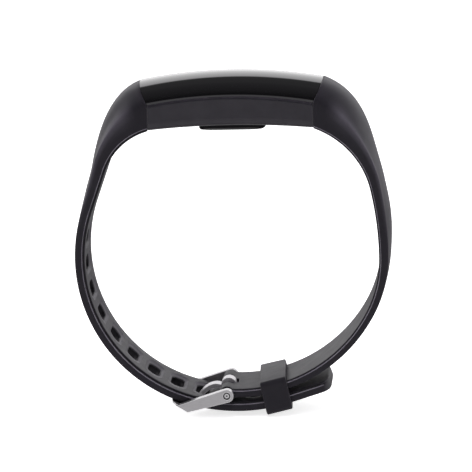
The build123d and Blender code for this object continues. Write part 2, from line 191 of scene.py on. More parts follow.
def bevel(thing, width):
    """Softens sharp edges, by a width in millimetres."""
    modifier = thing.modifiers.new("soft edges", "BEVEL")
    modifier.width = width * MM
    modifier.segments = 3
    modifier.limit_method = "ANGLE"
    modifier.angle_limit = radians(30)
    modifier.harden_normals = True


def rounded_outline(half_x, half_y, corner, steps=6):
    """A rounded rectangle as points, starting at the +X side and turning left."""
    points = []
    for sx, sy, start in ((1, 1, 0), (-1, 1, 90), (-1, -1, 180), (1, -1, 270)):
        for k in range(steps + 1):
            angle = radians(start + 90 * k / steps)
            points.append((sx * (half_x - corner) + corner * cos(angle),
                           sy * (half_y - corner) + corner * sin(angle)))
    return points


def rod_y(name, radius, x, z, low, high):
    """A round rod along Y."""
    sides = 48
    rings = []
    for y in (low, high):
        turns = (2 * pi * k / sides for k in range(sides))
        rings.append([(x + radius * cos(a), y, z + radius * sin(a)) for a in turns])
    return loft(name, rings)


def box_tool(name, low, high):
    """A plain block between two corners, for cutting."""
    rings = []
    for z in (low[2], high[2]):
        rings.append([(low[0], low[1], z), (high[0], low[1], z),
                      (high[0], high[1], z), (low[0], high[1], z)])
    return loft(name, rings)


def arch_z(top_z, radius, x):
    """Height of a crowned line that peaks at top_z in the middle."""
    return top_z - radius + sqrt(radius ** 2 - x ** 2)


def falloff(distance, reach, power=2):
    """1 at no distance, falling to 0 past a reach; a higher power keeps it flat for longer."""
    return exp(-((distance / reach) ** power))


# ---------------------------------------------------------------- strap paths
def bend(radius, turn):
    """One round stretch of a strap path: its length and its turn in degrees, left positive."""
    return radius * radians(abs(turn)), turn


def walk(start, moves, distance):
    """Point and heading along a path of round and straight stretches; it runs on straight."""
    x, z, heading = start
    for index, (length, turn) in enumerate(moves):
        last = index == len(moves) - 1
        share = distance / length if last else min(distance, length) / length
        step = share * radians(turn)
        angle = radians(heading)
        if turn:
            radius = length / radians(turn)
            x += radius * (sin(angle + step) - sin(angle))
            z -= radius * (cos(angle + step) - cos(angle))
        else:
            x += share * length * cos(angle)
            z += share * length * sin(angle)
        heading += share * turn
        distance -= share * length
        if distance <= 0:
            break
    return x, z, radians(heading)


# taper: length and power of the hood's fall from the case.
# swell: height, distance from the seam and reach of a fuller stretch below the hood.
tail_tip = walk((0, loop_centre_z - tail_strap_radius, 0),
                [bend(tail_strap_radius, tail_lift_off), (tail_free_length, 0)],
                tail_free_length + tail_strap_radius * radians(tail_lift_off))
TAIL = {
    "start": (tail_tip[0], tail_tip[1], 180 + tail_lift_off),
    "moves": [(tail_free_length, 0), bend(tail_strap_radius, -tail_lift_off - 18),
              bend(32.8, -92), (10.2, 0), bend(14.5, -55), (seam_overlap, 0)],
    "outward": 1,
    "taper": (9.4, 1.85),
    "swell": (0.65, 19.5, 6.5),
    "thinner_low_down": 0.0,
    "step_height": 0.55,
}
buckle_start_angle = -4.6
BUCKLE = {
    "start": (buckle_strap_radius * sin(radians(buckle_start_angle)),
              loop_centre_z - buckle_strap_radius * cos(radians(buckle_start_angle)),
              buckle_start_angle),
    "moves": [bend(buckle_strap_radius, 60 - buckle_start_angle), bend(27.0, 30),
              bend(75.0, 12), bend(19.7, 57), (seam_overlap, 0)],
    "outward": -1,
    "taper": (11.0, 2.2),
    "swell": (0.9, 26.0, 10.0),
    "thinner_low_down": 0.4,
    "step_height": 0.36,
}
for path in (TAIL, BUCKLE):
    path["seam"] = sum(length for length, turn in path["moves"]) - seam_overlap


def place(path, distance, y, height):
    """From strap coordinates (along, across, outward from the wrist side) to the frame."""
    if distance < 0:
        x, z, heading = walk(path["start"], path["moves"][:1], 0.0)
        x += distance * cos(heading)
        z += distance * sin(heading)
    else:
        x, z, heading = walk(path["start"], path["moves"], distance)
    side = path["outward"]
    return x - side * height * sin(heading), y, z + side * height * cos(heading)


def seam_x(z):
    """Half length of the case and lens at a height, with the seam's gap."""
    split_end = arch_z(split_z, split_radius, case_half_length)
    slope = (lens_tip_x - case_half_length) / (lens_tip_z - split_end)
    return case_half_length + seam_gap + slope * max(z - split_end, 0)


def seam_distance(path, height):
    """How far along the strap its hood meets the seam, at a height off the wrist side."""
    distance = path["seam"]
    rounds, share = 12, 0.9
    for _ in range(rounds):
        x, _, z = place(path, distance, 0, height)
        distance += (abs(x) - seam_x(z)) * share
    return distance


# ---------------------------------------------------------------- strap shape
def strap_size(path, distance):
    """Half width, edge and crown height, ridge softness, step inset and height, crown power."""
    from_seam = max(path["seam"] - distance, 0)
    taper_length, taper_power = path["taper"]
    swell, swell_at, swell_reach = path["swell"]
    hood = falloff(from_seam, taper_length, taper_power)
    widening = falloff(from_seam, hood_widening_length)
    half_width = strap_half_width + (case_half_width - strap_half_width) * widening
    thinner = path["thinner_low_down"] * (1 - falloff(from_seam, thinning_distance, 8))
    edge = edge_height + edge_rise * falloff(from_seam, edge_taper_length, edge_taper_power)
    fullness = swell * falloff(from_seam - swell_at, swell_reach)
    crown = strap_thickness + hood_rise * hood + fullness
    inset = step_inset * (1 - falloff(from_seam, step_inset_length, 4))
    near_seam = falloff(from_seam, seam_shape_length)
    ridge = ridge_softness + (ridge_softness_at_seam - ridge_softness) * near_seam
    power = crown_power + (crown_power_at_seam - crown_power) * near_seam
    return half_width, edge - thinner, crown - thinner, ridge, inset, path["step_height"], power


def half_section(half_width, edge, height, ridge, inset, step, power, scoop=0.0):
    """Right half of a strap section, from the middle of the wrist side round to the crown."""
    flat_steps, corner_steps, side_steps, turn_steps, crown_steps = 9, 3, 3, 5, 14
    corner, least_side = 0.16, 0.25
    scoop_at, scoop_reach = 0.72, 0.16
    ledge = ((0.0, -0.06), (0.2, 0.0), (0.5, 0.01), (0.85, 0.05))  # share of the inset, rise

    inner = half_width - inset
    points = [((inner - corner) * k / flat_steps, 0.0) for k in range(flat_steps + 1)]
    for k in range(1, corner_steps + 1):
        angle = radians(90 * k / corner_steps)
        points.append((inner - corner + corner * sin(angle), corner - corner * cos(angle)))
    points += [(inner + share * inset, step + rise) for share, rise in ledge]
    side_foot = step + corner
    side_top = max(edge - ridge, step + least_side)
    for k in range(side_steps + 1):
        points.append((half_width, side_foot + (side_top - side_foot) * k / side_steps))

    def crown(y):
        rise = 1 - abs(y / half_width) ** power
        dent = scoop * falloff(abs(y) / half_width - scoop_at, scoop_reach)
        return edge + (height - edge) * rise - dent

    turn_y = half_width - ridge
    for k in range(1, turn_steps + 1):
        t = k / turn_steps
        points.append(((1 - t * t) * half_width + t * t * turn_y,
                       (1 - t) ** 2 * side_top + 2 * t * (1 - t) * edge + t * t * crown(turn_y)))
    for k in range(1, crown_steps + 1):
        y = turn_y * (1 - k / crown_steps)
        points.append((y, crown(y)))
    return points


def full_section(half):
    """Mirrors a half section into a closed ring; its first and last points lie on the middle."""
    return half + [(-y, z) for y, z in reversed(half[1:-1])]


def soft_rim(ring):
    """Three rings that round the hood's rim off where it meets the seam."""
    lip, face_share, overshoot, turn_share, fullness = 0.14, 0.97, 0.02, 0.7, 1.004
    middle = sum(height for _, _, height in ring) / len(ring)
    narrower = 1 - lip / case_half_width
    rim = [(s - lip, y, height) for s, y, height in ring]
    face = [(s + overshoot, y * narrower, middle + (height - middle) * face_share)
            for s, y, height in ring]
    turn = [(a[0] + turn_share * (b[0] - a[0]), fullness * (a[1] + b[1]) / 2, (a[2] + b[2]) / 2)
            for a, b in zip(rim, face)]
    return [rim, turn, face]


def strap_rings(path, first, scoop=None):
    """Rings in strap coordinates from a distance up to the seam, the last ones fitted to it."""
    seam = path["seam"]
    count = round((seam - first) / ring_spacing)
    rings = []
    for index in range(count + 1):
        share = index / count
        distance = first + (seam - first) * share
        dent = scoop(seam - distance) if scoop else 0.0
        near = max(0.0, 1 - (seam - distance) / seam_fit_length) ** 2
        ring = []
        for y, height in full_section(half_section(*strap_size(path, distance), dent)):
            fitted = first + (seam_distance(path, height) - first) * share
            ring.append((distance + (fitted - distance) * near, y, height))
        rings.append(ring)
    return rings[:-1] + soft_rim(rings[-1])


def paint_ridge_highlights(strap, path):
    """Stores how close each point is to the hood's ridge, for a painted highlight along it."""
    least_reach, hood_reach, hood_length = 0.4, 1.5, 8.0
    start_at, start_length, end_length = 1.0, 3.0, 26.0
    ridge = strap.data.attributes.new("ridge", "FLOAT", "POINT")
    for vertex in strap.data.vertices:
        s, y, height = vertex.co / MM
        half_width, edge = strap_size(path, s)[:2]
        from_seam = path["seam"] - s
        away = hypot(half_width - abs(y), edge - height)
        reach = least_reach + hood_reach * falloff(from_seam, hood_length)
        start = min(1.0, max(0.0, from_seam - start_at) / start_length)
        fade = start * falloff(from_seam, end_length, 4)
        ridge.data[vertex.index].value = fade * falloff(away, reach)


# The strap's own rubber, then copies of it painted as highlight and shade.
strap_finishes_and_painted_light = ("rubber", "rubber_painted_lip_highlight", "rubber_painted_shade", "rubber_painted_dish_highlight")
dish_depth = 0.32


def paint_step_light(strap, path):
    """Paints the step's riser dark as painted shade and its lip pale as a painted highlight; works in
    strap coordinates.
    """
    for name in strap_finishes_and_painted_light:
        strap.data.materials.append(materials[name])
    lip_low, lip_high = path["step_height"] - 0.03, path["step_height"] + 0.17
    step_starts = strap_half_width - step_inset - 0.05
    steep = 0.75
    for face in strap.data.polygons:
        _, y, height = face.center / MM
        if abs(y) > step_starts and height < lip_high:
            if height > lip_low:
                face.material_index = strap_finishes_and_painted_light.index("rubber_painted_lip_highlight")
            elif abs(face.normal.y) > steep:
                face.material_index = strap_finishes_and_painted_light.index("rubber_painted_shade")


def paint_hole_light(strap, path):
    """Paints the dishes round the holes pale as a painted highlight, and the slot walls dark as
    painted shade.
    """
    holes_end, holes_half_width = path["seam"] - 15, 5.8
    lowest, highest = 0.01, strap_thickness - 0.05
    for face in strap.data.polygons:
        s, y, height = face.center / MM
        among_holes = tail_free_length < s < holes_end and abs(y) < holes_half_width
        if among_holes and lowest < height < highest:
            finish = "rubber_painted_dish_highlight" if height < dish_depth else "rubber_painted_shade"
            face.material_index = strap_finishes_and_painted_light.index(finish)


def onto_path(thing, path):
    """Wraps a mesh from strap coordinates onto its path."""
    for vertex in thing.data.vertices:
        s, y, h = vertex.co / MM
        vertex.co = Vector(place(path, s, y, h)) * MM
    outward_normals(thing)


def hole_distance(number):
    """Distance from the tail's tip to a hole, along the wrist side."""
    angle = tail_lift_off + degrees(asin(-buckled_hole_x / tail_strap_radius))
    at_buckle = tail_free_length + radians(angle) * tail_strap_radius
    return at_buckle + (buckled_hole - number) * hole_pitch


def hole_tool(distance):
    """A slot with a shallow dished recess on the wrist side and soft rims on both sides."""
    levels = (  # height, half length, half width, corner
        (-1.0, 2.5, 5.7, 2.45),
        (-0.02, 2.25, 5.2, 2.2),
        (0.10, 2.12, 4.95, 2.05),
        (0.26, 1.95, 4.3, 1.9),
        (0.30, 1.68, 3.18, 1.3),
        (0.45, 1.52, 3.0, 1.15),
        (1.75, 1.50, 2.98, 1.15),
        (2.02, 1.60, 3.08, 1.22),
        (3.2, 2.2, 3.7, 1.8),
    )
    rings = []
    for height, half_length, half_width, corner in levels:
        outline = rounded_outline(half_length, half_width, corner, 7)
        rings.append([(distance + x, y, height) for x, y in outline])
    return loft("hole_tool", rings)


def hood_pocket(insert):
    """Room in a hood for its clevis and the case tenon, open towards the case."""
    clearance, case_side = 0.05, 17.0
    low, high = (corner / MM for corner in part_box(insert))
    side = copysign(1, low.x)
    far = max(abs(low.x), abs(high.x)) + clearance
    ends = sorted((side * case_side, side * far))
    return box_tool("pocket", (ends[0], low.y - clearance, low.z - clearance),
                    (ends[1], high.y + clearance, high.z + clearance))


def hood_crease(from_seam):
    """Depth of the soft hollow beside the tail hood's ridge."""
    depth, deepest_at, reach = 0.34, 6.5, 4.2
    return depth * falloff(from_seam - deepest_at, reach)


def tail_tip_rings(first):
    """Rings of the rounded free tip, from a small start up to the full section."""
    count, tip_length = 12, 2.9
    first_width, first_height, rounding_length = 0.02, 0.45, 0.55
    middle = strap_thickness / 2
    section = full_section(half_section(*strap_size(TAIL, first)))
    rings = []
    for k in range(count):
        share = k / count
        reach = tip_length * share + (first - tip_length) * share ** 3
        narrow = (1 - (1 - share) ** 3) ** (1 / 3) if k else first_width
        thin = first_height + (1 - first_height) * sqrt(min(1.0, reach / rounding_length))
        rings.append([(reach, y * narrow, middle + (h - middle) * thin) for y, h in section])
    return rings


def tail_strap():
    """The holed strap, made flat in strap coordinates and then wrapped onto its path."""
    first = 3.3
    rings = tail_tip_rings(first) + strap_rings(TAIL, first, hood_crease)
    strap = loft("tail_strap_soft", rings)
    paint_step_light(strap, TAIL)
    paint_ridge_highlights(strap, TAIL)
    numbers = range(1, hole_count + 1)
    cut(strap, *[hole_tool(hole_distance(number)) for number in numbers])
    paint_hole_light(strap, TAIL)
    onto_path(strap, TAIL)
    cut(strap, hood_pocket("strap_insert_left"))
    finish_strap(strap, "tail_strap")


def barrel_span(distance, y):
    """Low and high face of the strap's end where it swells round the pin, slimmer at the slot."""
    centre, slimming, slot_reach, least_reach = 1.16, 0.42, 3.0, 0.02
    strap_starts, strap_length = 0.9, 1.7
    radius = barrel_radius - slimming * falloff(y, slot_reach, 4)
    reach = sqrt(max(radius ** 2 - distance ** 2, least_reach ** 2))
    low, high = centre - reach, centre + reach
    if distance < 0:
        return low, high
    soft = (1 - min(1.0, max(0.0, (distance - strap_starts) / strap_length))) ** 2
    return min(0.0, low) * soft, strap_thickness + max(0.0, high - strap_thickness) * soft


def barrel_rings(first):
    """Rings from the round end, over the pin, to where the plain strap starts."""
    degrees_apart, round_count, straight_count = 10, 9, 13
    section = full_section(half_section(*strap_size(BUCKLE, first)))
    along = [-barrel_radius * cos(radians(degrees_apart * k)) for k in range(round_count)]
    along += [first * k / straight_count for k in range(straight_count)]
    rings = []
    for distance in along:
        ring = []
        for y, height in section:
            low, high = barrel_span(distance, y)
            ring.append((distance, y, low + (height / strap_thickness) * (high - low)))
        rings.append(ring)
    return rings


def tongue_slot():
    """Tool for the slot in the strap's end that the tongue's loop turns in."""
    middle_x, half_length, half_width, corner = -3.2, 2.8, 1.7, 0.4
    below, above = -64, -55
    outline = rounded_outline(half_length, half_width, corner)
    return loft("slot", [[(middle_x + x, y, z) for x, y in outline] for z in (below, above)])


def buckle_strap():
    """The strap with the buckle, its pin bore and its tongue slot."""
    first, past_strap = 2.6, strap_half_width + 1
    strap = loft("buckle_strap_soft", barrel_rings(first) + strap_rings(BUCKLE, first))
    paint_step_light(strap, BUCKLE)
    paint_ridge_highlights(strap, BUCKLE)
    onto_path(strap, BUCKLE)
    bore = rod_y("bore", pin_bore_radius, pin_x, pin_z, -past_strap, past_strap)
    cut(strap, tongue_slot(), bore, hood_pocket("strap_insert_right"))
    finish_strap(strap, "buckle_strap")


def finish_strap(strap, node):
    """Smooths a strap and puts it in the place of its CAD node."""
    smooth(strap, 42)
    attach(strap, "band")
    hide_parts(node)


# ---------------------------------------------------------------- keeper
def keeper():
    """A rubber loop round both straps: level sides, soft folds, pulled a little askew."""
    centre_angle, lean, half_length, wall = radians(13.8), radians(2.3), 3.0, 1.05
    askew = 0.9
    skew = askew / (2 * (strap_half_width + wall))
    inside = buckle_strap_radius - 0.2
    outside = tail_strap_radius + strap_thickness + 0.2
    middle, reach = (inside + outside) / 2, (outside - inside) / 2
    inner_half = strap_half_width + 0.15
    fold, inner_fold, edge, edge_steps = 1.15, 0.4, 0.32, 4
    outline_out = rounded_outline(reach + wall, inner_half + wall, fold, 8)
    outline_in = rounded_outline(reach, inner_half, inner_fold, 8)

    def ring(outline, along, shrink):
        placed = []
        for r, y in outline:
            r -= copysign(min(shrink, abs(r)), r)
            y -= copysign(min(shrink, abs(y)), y)
            forward = along - r * tan(lean) - skew * (y + inner_half + wall)
            turn = centre_angle + forward / (middle + r)
            radius = middle + r
            placed.append((radius * sin(turn), y, loop_centre_z - radius * cos(turn)))
        return placed

    rings = []
    for side in (-1, 1):
        rim = [ring(outline_in, side * half_length, 0.0)]
        for k in range(edge_steps + 1):
            angle = radians(90 * k / edge_steps)
            rim.append(ring(outline_out, side * (half_length - edge * (1 - cos(angle))),
                            edge * (1 - sin(angle))))
        rings += rim if side < 0 else rim[::-1]
    loop = loft("keeper_soft", rings, closed_along=True)
    smooth(loop, 50)
    loop.data.materials.append(materials["rubber"])
    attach(loop, "keeper")
    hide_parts("keeper_loop")


# ---------------------------------------------------------------- coil springs
def coil_half(name, node, tip):
    """Half of a bar's coil, from its middle to one tip."""
    wire, pitch, steps_per_turn, sides = 0.09, 0.75, 20, 8
    gap_at_middle = 0.15
    low, high = (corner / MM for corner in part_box(node))
    middle = (low + high) / 2
    radius = (high.x - low.x) / 2 - wire
    side = -1 if tip.endswith("near") else 1
    length = high.y - wire
    count = round(length / pitch * steps_per_turn)
    rings = []
    for k in range(count + 1):
        y = side * (gap_at_middle + (length - gap_at_middle) * k / count)
        turn = 2 * pi * y / pitch
        outward, along = Vector((cos(turn), 0, sin(turn))), Vector((0, 1, 0))
        centre = Vector((middle.x, y, middle.z)) + radius * outward
        rings.append([centre + wire * (outward * cos(a) + along * sin(a))
                      for a in (2 * pi * i / sides for i in range(sides))])
    half = smooth(loft(name, rings), 60)
    half.data.materials.append(materials["spring_steel"])
    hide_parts(node)
    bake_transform(half)


def springs():
    """Both halves of the coils in the two spring bars and the buckle bar."""
    for node, tips in (("spring_bar_spring_left", "spring_bar_tip_left"),
                       ("spring_bar_spring_right", "spring_bar_tip_right"),
                       ("buckle_bar_spring", "buckle_bar_tip")):
        for end in ("near", "far"):
            coil_half(f"{node}_{end}", node, f"{tips}_{end}")


# ---------------------------------------------------------------- materials
def material(name):
    """A new node material with its tree and its main shader."""
    made = bpy.data.materials.new(name)
    made.use_nodes = True
    tree = made.node_tree
    return made, tree, tree.nodes["Principled BSDF"]


def add(tree, kind, **values):
    """A node with its properties and inputs set by name."""
    node = tree.nodes.new(kind)
    for key, value in values.items():
        if key in node.inputs:
            node.inputs[key].default_value = value
        else:
            setattr(node, key, value)
    return node


def object_space(tree):
    return add(tree, "ShaderNodeTexCoord").outputs["Object"]


def noise(tree, scale, detail=4.0, roughness=0.55):
    """Noise in object space; scale is in features per metre."""
    node = tree.nodes.new("ShaderNodeTexNoise")
    node.inputs["Scale"].default_value = scale
    node.inputs["Detail"].default_value = detail
    node.inputs["Roughness"].default_value = roughness
    tree.links.new(object_space(tree), node.inputs["Vector"])
    return node.outputs["Fac"]


def spread(tree, source, low, high):
    """Maps a noise, which keeps mostly to 0.3 to 0.7, onto a range of values."""
    node = tree.nodes.new("ShaderNodeMapRange")
    for key, value in (("From Min", 0.3), ("From Max", 0.7), ("To Min", low), ("To Max", high)):
        node.inputs[key].default_value = value
    tree.links.new(source, node.inputs["Value"])
    return node.outputs["Result"]


def smooth_step(tree, source, low, high):
    """A soft step from 0 at low to 1 at high."""
    node = tree.nodes.new("ShaderNodeMapRange")
    node.interpolation_type = "SMOOTHSTEP"
    node.inputs["From Min"].default_value = low
    node.inputs["From Max"].default_value = high
    tree.links.new(source, node.inputs["Value"])
    return node.outputs["Result"]


def between(tree, factor, low, high):
    """Moves from low to high with a factor; low and high may be numbers or sockets."""
    node = tree.nodes.new("ShaderNodeMapRange")
    tree.links.new(factor, node.inputs["Value"])
    for name, value in (("To Min", low), ("To Max", high)):
        if isinstance(value, float):
            node.inputs[name].default_value = value
        else:
            tree.links.new(value, node.inputs[name])
    return node.outputs["Result"]


def constant(tree, value):
    """A fixed value as a socket."""
    node = tree.nodes.new("ShaderNodeValue")
    node.outputs[0].default_value = value
    return node.outputs[0]


def product(tree, first, second):
    """Two sockets multiplied."""
    node = add(tree, "ShaderNodeMath", operation="MULTIPLY")
    tree.links.new(first, node.inputs[0])
    tree.links.new(second, node.inputs[1])
    return node.outputs["Value"]


def tint(tree, source, dark, light):
    """Maps a noise onto a range of colours."""
    ramp = tree.nodes.new("ShaderNodeValToRGB")
    for stop, position, color in zip(ramp.color_ramp.elements, (0.35, 0.65), (dark, light)):
        stop.position = position
        stop.color = (*color, 1)
    tree.links.new(source, ramp.inputs["Fac"])
    return ramp.outputs["Color"]


def bump(tree, shader, layers):
    """Stacks bumps; each layer is a height source, a strength and a depth in millimetres."""
    normal = None
    for source, strength, depth in layers:
        node = tree.nodes.new("ShaderNodeBump")
        node.inputs["Strength"].default_value = strength
        node.inputs["Distance"].default_value = depth * MM
        tree.links.new(source, node.inputs["Height"])
        if normal:
            tree.links.new(normal, node.inputs["Normal"])
        normal = node.outputs["Normal"]
    tree.links.new(normal, shader.inputs["Normal"])


def blend(tree, factor, first, second):
    """Mixes two colours by a factor."""
    node = add(tree, "ShaderNodeMix", data_type="RGBA")
    tree.links.new(factor, node.inputs["Factor"])
    for socket, value in (("A", first), ("B", second)):
        target = next(item for item in node.inputs if item.name == socket and item.type == "RGBA")
        if isinstance(value, tuple):
            target.default_value = (*value, 1)
        else:
            tree.links.new(value, target)
    return next(item for item in node.outputs if item.type == "RGBA")


def worn_and_highlit_edges(tree, radius):
    """A mask that is white along rounded and sharp edges, broken up a little; it paints edge wear and
    painted highlights.
    """
    soft = add(tree, "ShaderNodeBevel", samples=6)
    soft.inputs["Radius"].default_value = radius * MM
    facing = add(tree, "ShaderNodeVectorMath", operation="DOT_PRODUCT")
    tree.links.new(soft.outputs["Normal"], facing.inputs[0])
    tree.links.new(add(tree, "ShaderNodeNewGeometry").outputs["Normal"], facing.inputs[1])
    mask = smooth_step(tree, facing.outputs["Value"], 0.995, 0.86)
    return product(tree, mask, spread(tree, noise(tree, 500, 3), 0.65, 1.0))


def painted_recess_shade_mask(tree, reach):
    """Painted shade: a mask that falls to 0 in narrow recesses and stays 1 on open faces."""
    node = add(tree, "ShaderNodeAmbientOcclusion", samples=8)
    node.inputs["Distance"].default_value = reach * MM
    return smooth_step(tree, node.outputs["AO"], 0.25, 0.85)


violet = (0.96, 0.92, 1.0, 1)
# A painted highlight for the hood ridges, then edges paler from wear and painted highlight, on rubber,
# plastic and steel.
painted_ridge_highlight, rubbed_and_highlit_rubber = (0.080, 0.075, 0.090), (0.075, 0.071, 0.083)
# The last of these is a dark colour for painted shade in recesses.
rubbed_and_highlit_plastic, rubbed_and_highlit_steel, painted_recess_shade = (0.10, 0.10, 0.105), (0.93, 0.92, 0.94), (0.02, 0.02, 0.02)


def rubber(name, dark, light):
    """Moulded silicone: a fine spark-eroded grain, faint dust, a painted highlight on the ridges and
    edges paler from wear and painted highlight.
    """
    made, tree, shader = material(name)
    link = tree.links.new
    mottle = tint(tree, noise(tree, 160, 5), dark, light)
    # Painted highlight along the hood ridges, led by the ridge attribute.
    ridge_highlight = add(tree, "ShaderNodeAttribute", attribute_name="ridge").outputs["Fac"]
    mottle = blend(tree, ridge_highlight, mottle, painted_ridge_highlight)
    # Edges paler: partly wear, partly painted highlight.
    link(blend(tree, worn_and_highlit_edges(tree, 0.3), mottle, rubbed_and_highlit_rubber), shader.inputs["Base Color"])
    link(spread(tree, noise(tree, 420, 3), 0.48, 0.54), shader.inputs["Roughness"])
    shader.inputs["Specular IOR Level"].default_value = 0.2
    shader.inputs["Specular Tint"].default_value = violet
    shader.inputs["Sheen Weight"].default_value = 0.05
    shader.inputs["Sheen Roughness"].default_value = 0.45
    shader.inputs["Sheen Tint"].default_value = violet
    bump(tree, shader, [(noise(tree, 5200, 2), 0.15, 0.03), (noise(tree, 900, 3), 0.05, 0.04)])
    return made


def case_plastic():
    """Moulded case: finer grain than the straps, with edges paler from wear and painted highlight."""
    made, tree, shader = material("case_plastic")
    link = tree.links.new
    mottle = tint(tree, noise(tree, 220, 4), (0.0130, 0.012, 0.0160), (0.0190, 0.0175, 0.0225))
    # Edges paler: partly wear, partly painted highlight.
    link(blend(tree, worn_and_highlit_edges(tree, 0.22), mottle, rubbed_and_highlit_plastic), shader.inputs["Base Color"])
    link(spread(tree, noise(tree, 600, 3), 0.34, 0.44), shader.inputs["Roughness"])
    shader.inputs["Specular Tint"].default_value = violet
    bump(tree, shader, [(noise(tree, 7000, 2), 0.18, 0.02)])
    return made


def gloss(name, shine, coat, rough):
    """Polished black cover: hard gloss with faint smears that only show in reflections."""
    made, tree, shader = material(name)
    link = tree.links.new
    shader.inputs["Base Color"].default_value = (0.002, 0.002, 0.0025, 1)
    link(spread(tree, noise(tree, 90, 6, 0.7), rough, rough + 0.07), shader.inputs["Roughness"])
    shader.inputs["Specular IOR Level"].default_value = shine
    shader.inputs["Specular Tint"].default_value = violet
    shader.inputs["Coat Weight"].default_value = coat
    shader.inputs["Coat Roughness"].default_value = 0.03
    bump(tree, shader, [(noise(tree, 60, 2), 0.02, 0.4)])
    return made


def steel(name, value, rough, brush, metal=0.86, shade_reach=0.0):
    """Satin steel: fine brushing, edges paler from wear and painted highlight and, if asked, painted
    shade in the recesses.
    """
    made, tree, shader = material(name)
    link = tree.links.new
    mapping = add(tree, "ShaderNodeMapping")
    mapping.inputs["Scale"].default_value = brush
    link(object_space(tree), mapping.inputs["Vector"])
    lines = tree.nodes.new("ShaderNodeTexNoise")
    lines.inputs["Scale"].default_value = 1.0
    lines.inputs["Detail"].default_value = 3.0
    link(mapping.outputs["Vector"], lines.inputs["Vector"])
    grain = lines.outputs["Fac"]
    light = (value, value * 0.975, value * 1.01)
    dark = tuple(part * 0.88 for part in light)
    # Edges paler: partly wear, partly painted highlight.
    color = blend(tree, worn_and_highlit_edges(tree, 0.3), tint(tree, grain, dark, light), rubbed_and_highlit_steel)
    # Painted shade darkens the recesses.
    if shade_reach:
        color = blend(tree, painted_recess_shade_mask(tree, shade_reach), painted_recess_shade, color)
    link(color, shader.inputs["Base Color"])
    link(spread(tree, grain, rough - 0.05, rough + 0.07), shader.inputs["Roughness"])
    shader.inputs["Metallic"].default_value = metal
    bump(tree, shader, [(grain, 0.12, 0.015), (noise(tree, 700, 3), 0.05, 0.03)])
    return made


def plain(name, color, rough, metal=0.0):
    """A finish for the parts inside: a little mottle, grain and change in shine."""
    made, tree, shader = material(name)
    link = tree.links.new
    dark = tuple(part * 0.8 for part in color)
    link(tint(tree, noise(tree, 300), dark, color), shader.inputs["Base Color"])
    link(spread(tree, noise(tree, 900), rough - 0.06, rough + 0.08), shader.inputs["Roughness"])
    shader.inputs["Metallic"].default_value = metal
    bump(tree, shader, [(noise(tree, 3600, 2), 0.15, 0.02)])
    return made


materials = {
    "rubber": rubber("strap_rubber", (0.0150, 0.0140, 0.0180), (0.0185, 0.0172, 0.0215)),
    # Painted light: a highlight on the step's lip, shade on its riser and on the slot walls, a
    # highlight in the hole dishes.
    "rubber_painted_lip_highlight": rubber("strap_rubber_painted_lip_highlight", (0.16, 0.15, 0.18), (0.26, 0.25, 0.28)),
    "rubber_painted_shade": rubber("strap_rubber_painted_shade", (0.003, 0.003, 0.004), (0.005, 0.005, 0.006)),
    "rubber_painted_dish_highlight": rubber("strap_rubber_painted_dish_highlight", (0.055, 0.051, 0.061), (0.070, 0.066, 0.078)),
    "case_plastic": case_plastic(),
    "lens_gloss": gloss("lens_gloss", 0.6, 0.4, 0.03),
    "sensor_gloss": gloss("sensor_gloss", 0.12, 0.0, 0.4),
    # The satin and turned steels take painted shade in their recesses.
    "steel": steel("satin_steel", 0.50, 0.34, (900, 9000, 9000), shade_reach=0.7),
    # The tongue's steel is painted paler than the satin steel, as painted light on its front faces,
    # and is less metallic.
    "tongue_steel_painted_lighter": steel("tongue_steel_painted_lighter", 0.60, 0.38, (900, 9000, 9000), metal=0.55),
    "steel_pin": steel("turned_steel", 0.62, 0.30, (9000, 900, 9000), shade_reach=0.5),
    "spring_steel": steel("spring_wire", 0.52, 0.25, (4000, 4000, 4000)),
    "gold": plain("gold_plate", (0.85, 0.62, 0.25), 0.22, metal=1.0),
    "board_green": plain("solder_mask", (0.02, 0.16, 0.06), 0.35),
    "chip_black": plain("chip_black", (0.02, 0.02, 0.02), 0.5),
    "carrier_plastic": plain("carrier_plastic", (0.08, 0.08, 0.09), 0.5),
    "foil_silver": plain("pouch_foil", (0.72, 0.72, 0.74), 0.3, metal=1.0),
    "wire_red": plain("wire_red", (0.42, 0.02, 0.02), 0.45),
    "display_black": plain("display_glass", (0.01, 0.01, 0.014), 0.08),
    "flex_amber": plain("flex_amber", (0.45, 0.20, 0.03), 0.3),
    "lamp_green": plain("lamp_green", (0.30, 0.75, 0.35), 0.2),
    "diode_dark": plain("diode_dark", (0.03, 0.03, 0.05), 0.15),
    "tungsten": plain("tungsten", (0.30, 0.30, 0.31), 0.4, metal=1.0),
    "seal_rubber": plain("seal_rubber", (0.03, 0.03, 0.03), 0.7),
}


def dress_nodes():
    """Gives every carried-over CAD node its finish, and softens its edges where they show."""
    edges = {"case_shell": 0.1, "sensor_window": 0.45, "buckle_frame": 0.26,
             "buckle_tongue": 0.36, "top_lens": 0.3}
    finishes_by_node = {"buckle_tongue": "tongue_steel_painted_lighter"}
    finishes_by_slot = {"strap_rubber": "rubber"}
    slots = {entry["node"]: entry["material_slot"] for entry in frame["record"]["subparts"]}
    for node, thing in frame["nodes"].items():
        name = slots[node]
        thing.data.materials.clear()
        finish = finishes_by_node.get(node, finishes_by_slot.get(name, name))
        thing.data.materials.append(materials[finish])
        if node in edges:
            bevel(thing, edges[node])


